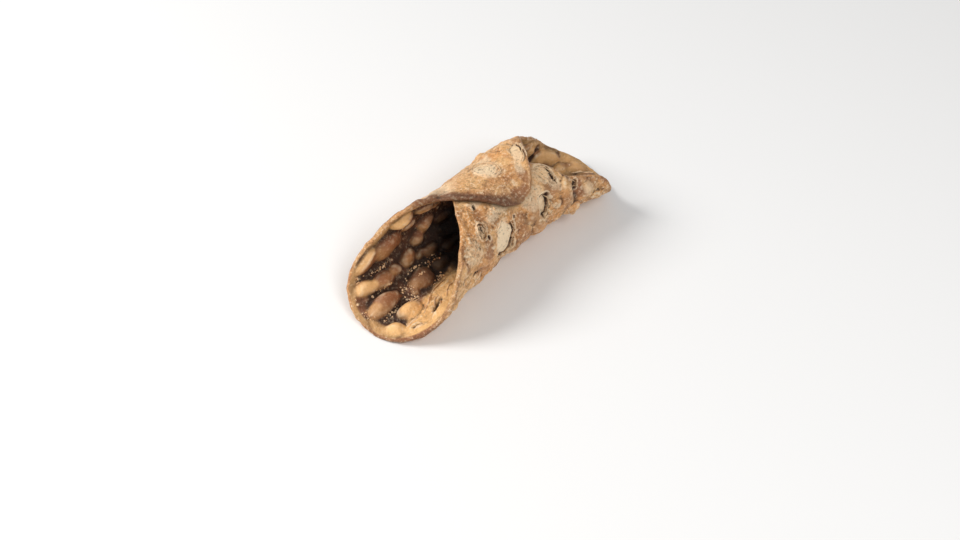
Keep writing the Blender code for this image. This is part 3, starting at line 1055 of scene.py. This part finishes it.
def surface_frames(u, s, side):
    """Places on the surface with a tangent, a second tangent and the outward normal at each."""
    step = 0.2  # small distance along the sheet that gives the tangents
    here, along, across = (
        wrap(*point, surface_lift(*point, side)) for point in ((u, s), (u + step, s), (u, s + step))
    )
    first = unit(along - here)
    normal = side * unit(np.cross(across - here, first))
    return here, first, np.cross(normal, first), normal


def crumb_shape():
    """Points and faces of a ball of twenty triangles."""
    golden = (1 + math.sqrt(5)) / 2
    points = []
    for a in (-1, 1):
        for b in (-golden, golden):
            points += [(0, a, b), (a, b, 0), (b, 0, a)]
    points = np.array(points) / math.hypot(1, golden)
    faces = []
    for i, j, k in itertools.combinations(range(len(points)), 3):
        first, second = points[j] - points[i], points[k] - points[i]
        if max(np.linalg.norm(side) for side in (first, second, second - first)) < BALL_SIDE:
            outward = np.cross(first, second) @ points[i] > 0
            faces.append((i, j, k) if outward else (i, k, j))
    return points, np.array(faces)


def make_crumb(random, ball, place, x, y, z):
    """Points of one crumb, an uneven lump or thin flake, at a place with tangents x, y and normal z."""
    turn = random.uniform(0, 2 * math.pi)
    x, y = x * math.cos(turn) + y * math.sin(turn), y * math.cos(turn) - x * math.sin(turn)
    tilt = random.uniform(-CRUMB_TILT, CRUMB_TILT)
    x, z = x * math.cos(tilt) + z * math.sin(tilt), z * math.cos(tilt) - x * math.sin(tilt)
    length = random.gamma(*CRUMB_GAMMA) + CRUMB_LEAST
    sizes = length * np.array([1, random.uniform(*CRUMB_WIDTH), random.uniform(*CRUMB_HEIGHT)])
    lump = ball * sizes * random.uniform(*CRUMB_LUMPS, (len(ball), 1))
    points = (place / MM + z * sizes[2] * 0.5 + lump @ np.stack([x, y, z])) * MM
    points[:, 2] = np.maximum(points[:, 2], 0)
    return points


def make_crumbs():
    """All the loose crumbs, joined, as they lie on the surface."""
    random = np.random.default_rng(77)
    ball, ball_faces = crumb_shape()
    parts, paleness = [], []
    for side, u, s, spread_u, spread_s, count in CRUMB_HEAPS:
        crumb_u = random.normal(u, spread_u / HEAP_FALL, count)
        crumb_s = random.normal(s, spread_s / HEAP_FALL, count)
        keep = (edge_share(crumb_u, crumb_s) < 0.97) & (lapped(crumb_u, crumb_s) < 0.1)
        for frame_here in zip(*surface_frames(crumb_u[keep], crumb_s[keep], side)):
            parts.append((make_crumb(random, ball, *frame_here), ball_faces))
            paleness += [random.uniform(*CRUMB_PALENESS)] * len(ball)
    crumbs = new_mesh_object("crumbs", *join_parts(parts))
    crumbs.data.shade_flat()
    paint_evenly(crumbs, {"rough": 0.1, "pale": np.array(paleness)})
    return crumbs


# ---- materials ----

MIX_FIRST, MIX_SECOND, MIX_RESULT = 6, 7, 2  # places of the colour sockets on a mix node


def add_node(tree, kind, output, inputs, **settings):
    """A shader node, whose inputs are values or sockets to link, given as its output socket."""
    node = tree.nodes.new("ShaderNode" + kind)
    for name, value in settings.items():
        setattr(node, name, value)
    for name, value in inputs.items():
        if isinstance(value, bpy.types.NodeSocket):
            tree.links.new(value, node.inputs[name])
        else:
            node.inputs[name].default_value = value
    return node.outputs[output]


def add_noise(tree, coordinates, scale, detail, roughness):
    inputs = {"Vector": coordinates, "Scale": scale, "Detail": detail, "Roughness": roughness}
    return add_node(tree, "TexNoise", "Fac", inputs)


def add_range(tree, value, low, high, to_low=0, to_high=1):
    """Smooth step of a value from low to high, given out as to_low to to_high."""
    inputs = {"Value": value, "From Min": low, "From Max": high, "To Min": to_low, "To Max": to_high}
    return add_node(tree, "MapRange", "Result", inputs, interpolation_type="SMOOTHSTEP")


def add_mix(tree, factor, first, second):
    inputs = {"Factor": factor, MIX_FIRST: first, MIX_SECOND: second}
    return add_node(tree, "Mix", MIX_RESULT, inputs, data_type="RGBA")


def add_math(tree, operation, first, second):
    return add_node(tree, "Math", "Value", {0: first, 1: second}, operation=operation)


def add_specks(tree, noise, limits, ground, inside, on_inside):
    """Strength of the specks of a noise: ground is their share here, on_inside that on the inside."""
    specks = add_math(tree, "MULTIPLY", add_range(tree, noise, *limits), ground)
    return add_math(tree, "MULTIPLY", specks, add_range(tree, inside, 0, 1, 1, on_inside))


def colour(red, green, blue):
    """A colour given as it is seen, from 0 to 255, as the linear values that nodes take."""
    parts = [v / 255 for v in (red, green, blue)]
    return tuple(v / 12.92 if v <= 0.04045 else ((v + 0.055) / 1.055) ** 2.4 for v in parts) + (1,)


GOLD = colour(222, 160, 98)
TAN = colour(232, 182, 124)
RED_BROWN = colour(148, 94, 62)
# dark brown: painted shade in hollows and fine creases, and the dark specks
SHADE_AND_SPECK_BROWN = colour(56, 32, 19)
# pale dough and pale specks, and painted highlights on fine crests
PALE_AND_HIGHLIGHT = colour(254, 231, 195)
# pale yellow dough, and painted light on the inside
YELLOW_AND_LIGHT = colour(253, 199, 132)
# painted shade in grooves, slits and on the rim, and the scorched edge
SHADE_AND_SCORCH_BROWN = colour(64, 36, 22)
# brown between the inside's blisters: browner dough and painted shade
INNER_BROWN_AND_SHADE = colour(92, 54, 32)
INNER_GOLD = colour(202, 140, 84)
# painted shade deep in the tube and under the over flap's edge
PAINTED_SHADE_COLOUR = colour(32, 24, 20)
# Noise in the dough: (scale, detail, roughness).
BROAD_NOISE = (80, 3, 0.6)
PATCH_NOISE = (260, 4, 0.65)
SPECK_NOISE = (850, 3, 0.7)
GRAIN_NOISE = (2600, 2, 0.7)
# Specks: (noise where they start, noise where they are full, strength at the start, full strength).
LIGHT_SPECKS = (0.52, 0.66, 0, 0.75)
DARK_SPECKS = (0.48, 0.34, 0, 0.6)
GLOSS_RANGE = (0.36, 0.58)  # least and most roughness of the oily crust
SPECULAR = 0.4
BUMP_STRENGTH = 0.8
BUMP_DISTANCE = 0.0013
GRAIN_SHARE = 0.4  # height of the grain against the specks'


def outer_colour(tree, broad, patch, masks):
    """The outside's crust: tan to gold, with red-brown patches, and red-brown where it is toasted."""
    crust = add_mix(tree, add_range(tree, broad, 0.40, 0.60), TAN, GOLD)
    crust = add_mix(tree, add_range(tree, patch, 0.49, 0.66, 0, 0.5), crust, RED_BROWN)
    return add_mix(tree, masks["browning_and_shade"], crust, RED_BROWN)


def inner_colour(tree, patch, masks):
    """The inside's crust: brown between the blisters, partly painted shade, gold on them, with red-brown
    patches, browning and painted shade, and yellow that is partly painted light.
    """
    # brown in the hollows between the blisters, partly painted shade, and gold on them
    crust = add_mix(tree, add_range(tree, masks["hollow"], 0.1, -1.7), INNER_BROWN_AND_SHADE, INNER_GOLD)
    crust = add_mix(tree, add_range(tree, patch, 0.46, 0.64, 0, 0.6), crust, RED_BROWN)
    crust = add_mix(tree, masks["browning_and_shade"], crust, RED_BROWN)
    return add_mix(tree, masks["yellow"], crust, YELLOW_AND_LIGHT)


def make_dough_material():
    """Fried dough: crust colours, then painted shade in hollows, pale patches, specks, painted shade and
    highlights at fine creases and crests, painted shade in cracks and on the rim with scorch, and painted
    shade in the tube, laid over them in turn.
    """
    material = bpy.data.materials.new("fried_dough")
    material.use_nodes = True
    tree = material.node_tree
    shader = tree.nodes["Principled BSDF"]
    coordinates = add_node(tree, "TexCoord", "Object", {})
    broad, patch, speck, grain = (
        add_noise(tree, coordinates, *noise) for noise in (BROAD_NOISE, PATCH_NOISE, SPECK_NOISE, GRAIN_NOISE)
    )
    masks = {name: add_node(tree, "Attribute", "Fac", {}, attribute_name=name) for name in MASKS}
    hollow, fine_hollow, inside = masks["hollow"], masks["fine_hollow"], masks["inside"]

    outer = outer_colour(tree, broad, patch, masks)
    base = add_mix(tree, inside, outer, inner_colour(tree, patch, masks))
    ground = add_math(tree, "ADD", add_math(tree, "MULTIPLY", masks["rough"], 0.6), 0.4)
    light_specks = add_specks(tree, speck, LIGHT_SPECKS, ground, inside, 0.35)
    dark_specks = add_specks(tree, speck, DARK_SPECKS, ground, inside, 0.4)
    for strength, paint in (
        # painted shade in the hollows
        (add_range(tree, hollow, 0.1, 0.9, 0, 0.95), SHADE_AND_SPECK_BROWN),
        (masks["pale"], PALE_AND_HIGHLIGHT),
        (light_specks, PALE_AND_HIGHLIGHT),
        (dark_specks, SHADE_AND_SPECK_BROWN),
        # painted shade in fine creases, then painted highlights on fine crests
        (add_range(tree, fine_hollow, 0.04, 0.24, 0, 0.65), SHADE_AND_SPECK_BROWN),
        (add_range(tree, fine_hollow, -0.04, -0.18, 0, 0.6), PALE_AND_HIGHLIGHT),
        # painted shade in grooves, slits and on the rim, with the scorched edge
        (masks["dark"], SHADE_AND_SCORCH_BROWN),
        # painted shade deep in the tube and under the over flap's edge
        (masks["painted_shade"], PAINTED_SHADE_COLOUR),
    ):
        base = add_mix(tree, strength, base, paint)
    tree.links.new(base, shader.inputs["Base Color"])

    tree.links.new(add_range(tree, patch, 0.35, 0.7, *GLOSS_RANGE), shader.inputs["Roughness"])
    shader.inputs["Specular IOR Level"].default_value = SPECULAR
    height = add_math(tree, "ADD", speck, add_math(tree, "MULTIPLY", grain, GRAIN_SHARE))
    height = add_math(tree, "MULTIPLY", height, add_range(tree, masks["rough"], 0, 1, 0.45, 1))
    bump = {"Strength": BUMP_STRENGTH, "Distance": BUMP_DISTANCE, "Height": height}
    tree.links.new(add_node(tree, "Bump", "Normal", bump), shader.inputs["Normal"])
    return material


# ---- stage, light and camera ----

CAMERA_PLACE = Vector((-268, -242.35, 390.2)) * MM
CAMERA_PITCH = 48.2
CAMERA_HEADING = 47.42
CAMERA_LENS = 49.16
SENSOR_WIDTH = 36
CLIP_START = 0.01
WORLD_COLOUR = (0.97, 0.98, 1, 1)
WORLD_STRENGTH = 0.30
FLOOR_SIZE = 6
FLOOR_DROP = 0.0001  # keeps the floor clear of the shell's flat underside
FLOOR_COLOUR = (0.87, 0.87, 0.87, 1)
FLOOR_ROUGHNESS = 0.8
LAMP_DISTANCE = 1.2
# Lamps: (name, direction they shine from, power, disk size, colour).
LAMPS = (
    ("key", (-0.53, 0.57, 0.63), 12.2, 0.58, (1, 0.985, 0.96)),
    ("fill", (-0.17, -0.60, 0.78), 6.2, 0.55, (1, 0.985, 0.965)),
)


def make_floor():
    bpy.ops.mesh.primitive_plane_add(size=FLOOR_SIZE, location=(0, 0, -FLOOR_DROP))
    floor = bpy.context.object
    floor.name = "floor"
    material = bpy.data.materials.new("floor")
    material.use_nodes = True
    shader = material.node_tree.nodes["Principled BSDF"]
    shader.inputs["Base Color"].default_value = FLOOR_COLOUR
    shader.inputs["Roughness"].default_value = FLOOR_ROUGHNESS
    floor.data.materials.append(material)


def make_lights():
    world = bpy.data.worlds.new("studio")
    bpy.context.scene.world = world
    world.use_nodes = True
    background = world.node_tree.nodes["Background"]
    background.inputs["Color"].default_value = WORLD_COLOUR
    background.inputs["Strength"].default_value = WORLD_STRENGTH

    for name, direction, power, size, light_colour in LAMPS:
        light = bpy.data.lights.new(name, "AREA")
        light.shape = "DISK"
        light.size = size
        light.energy = power
        light.color = light_colour
        lamp = new_object(name, light)
        toward = Vector(direction).normalized()
        lamp.location = toward * LAMP_DISTANCE
        lamp.rotation_euler = toward.to_track_quat("Z", "Y").to_euler()


def make_camera():
    data = bpy.data.cameras.new("camera")
    data.lens = CAMERA_LENS
    data.sensor_width = SENSOR_WIDTH
    data.clip_start = CLIP_START
    camera = new_object("camera", data)
    camera.location = CAMERA_PLACE
    camera.rotation_euler = (math.radians(90 - CAMERA_PITCH), 0, math.radians(-CAMERA_HEADING))
    bpy.context.scene.camera = camera


dough = make_dough_material()
shell = make_shell()
for piece in (shell, make_lips(), make_crumbs()):
    piece.data.materials.append(dough)
    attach(piece, "root")
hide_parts("shell")

make_floor()
make_lights()
make_camera()
bpy.context.scene.view_settings.view_transform = "Standard"
